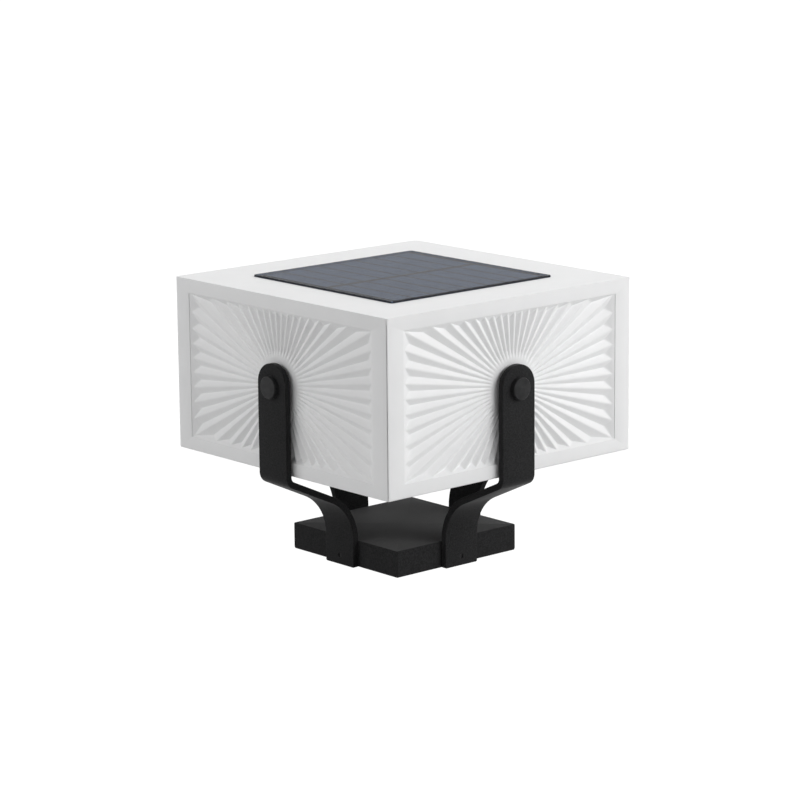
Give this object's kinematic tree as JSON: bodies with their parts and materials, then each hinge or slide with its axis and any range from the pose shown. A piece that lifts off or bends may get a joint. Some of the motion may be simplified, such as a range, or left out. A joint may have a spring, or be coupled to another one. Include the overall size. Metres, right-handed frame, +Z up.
{
  "type": "outdoor table lamp",
  "caption": "Square solar table lamp for outdoors: white head with sunburst relief sides and a solar panel on top, held by bent flat bars on a weighted base, with a push switch underneath.",
  "frame": {"origin": "centre of the footprint, on the surface that the lamp stands on, at the underside of its rubber feet", "axes": "+Z up; -Y towards the front side panel, +X towards the right side panel; the switch is under the head at the +X -Y corner"},
  "size_m": [0.2716, 0.2716, 0.2208],
  "materials": {
    "white_case": "satin white, weatherproof plastic",
    "opal_panel": "satin opal white that lets light through",
    "black_coat": "fine-textured matt black powder coat",
    "ballast": "raw casting",
    "steel": "stainless, plain",
    "black_steel": "matt black, turned",
    "brass": "plain",
    "rubber": "matt black",
    "solar_glass": "clear, slightly blue",
    "solar_cell": "dark grey-blue silicon",
    "black_board": "black solder mask",
    "white_board": "white solder mask",
    "green_board": "green solder mask",
    "chip": "yellow phosphor in white frames",
    "electronics": "black moulded parts",
    "cell_sleeve": "blue shrink sleeve",
    "black_plastic": "matt black plastic",
    "grey_button": "matt grey",
    "red_wire": "red insulation",
    "white_wire": "white insulation",
    "blue_wire": "blue insulation"
  },
  "bodies": {
    "lamp": {"base_cover": "black_coat", "base_plate": "black_coat", "base_weight": "ballast", "weight_screws": "steel", "plate_screws": "steel", "foot_pads": "rubber", "bracket_front": "black_coat", "bracket_right": "black_coat", "bracket_back": "black_coat", "bracket_left": "black_coat", "bracket_bolts": "steel", "foot_dowels": "black_steel", "retaining_pins": "black_steel", "spacer_washers": "rubber", "pin_inserts": "brass", "top_cover": "white_case", "side_panel_front": "opal_panel", "side_panel_right": "opal_panel", "side_panel_back": "opal_panel", "side_panel_left": "opal_panel", "inner_frame": "white_case", "panel_screws": "steel", "top_screws": "steel", "panel_seal": "rubber", "panel_board": "black_board", "solar_cells": "solar_cell", "panel_glass": "solar_glass", "wire_grommet": "rubber", "bottom_cover": "white_case", "cover_gasket": "rubber", "cover_screws": "steel", "light_core": "steel", "core_screws": "steel", "led_board_front": "white_board", "led_board_right": "white_board", "led_board_back": "white_board", "led_board_left": "white_board", "led_chips": "chip", "led_screws": "steel", "battery_holder": "black_plastic", "battery_cell_1": "cell_sleeve", "battery_cell_2": "cell_sleeve", "battery_cell_3": "cell_sleeve", "battery_cell_4": "cell_sleeve", "battery_cap": "black_plastic", "battery_contacts": "brass", "charge_board": "green_board", "board_parts": "electronics", "board_screws": "steel", "switch_body": "black_plastic", "switch_seal": "rubber", "switch_nut": "steel", "panel_wires": "red_wire", "led_wires": "white_wire", "switch_wires": "blue_wire"},
    "button": {"power_button": "grey_button"}
  },
  "joints": [
    {"name": "power_press", "type": "slide", "parent": "lamp", "child": "button", "axis": [0, 0, 1], "range_m": [0, 0.0015], "stiffness_N_per_m": 600, "springref_m": -0.002}
  ]
}
